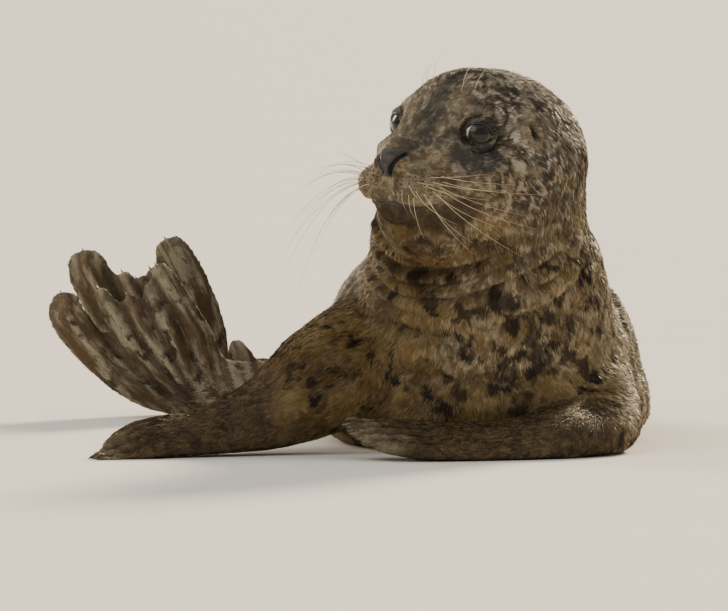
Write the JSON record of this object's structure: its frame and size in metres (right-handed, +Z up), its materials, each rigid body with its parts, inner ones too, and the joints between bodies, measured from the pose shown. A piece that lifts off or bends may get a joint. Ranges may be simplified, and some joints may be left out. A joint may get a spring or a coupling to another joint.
{
  "type": "harbor seal",
  "caption": "Still, life-size harbor seal resting on its belly, chest raised, head turned to its right, hind flippers lifted, for a museum display.",
  "frame": {"origin": "on the floor, under the middle of the box that holds the whole seal", "axes": "+Z up; the raised chest faces -Y, the seal's left side is at +X, and the hips curl round to -X at the back"},
  "size_m": [0.6608, 0.9098, 0.4008],
  "materials": {
    "coat": "short dry fur, olive-tan with dark brown spots",
    "flipper": "very short dry fur, brown",
    "eye": "wet gloss, almost black",
    "claw": "satin horn, dark brown",
    "whisker": "satin, pale straw"
  },
  "bodies": {
    "root": {"head": "coat", "neck": "coat", "chest": "coat", "belly": "coat", "hips": "coat", "tail": "coat", "right_fore_flipper": "flipper", "left_fore_flipper": "flipper", "right_hind_flipper": "flipper", "left_hind_flipper": "flipper", "left_eye": "eye", "right_eye": "eye"}
  },
  "joints": []
}
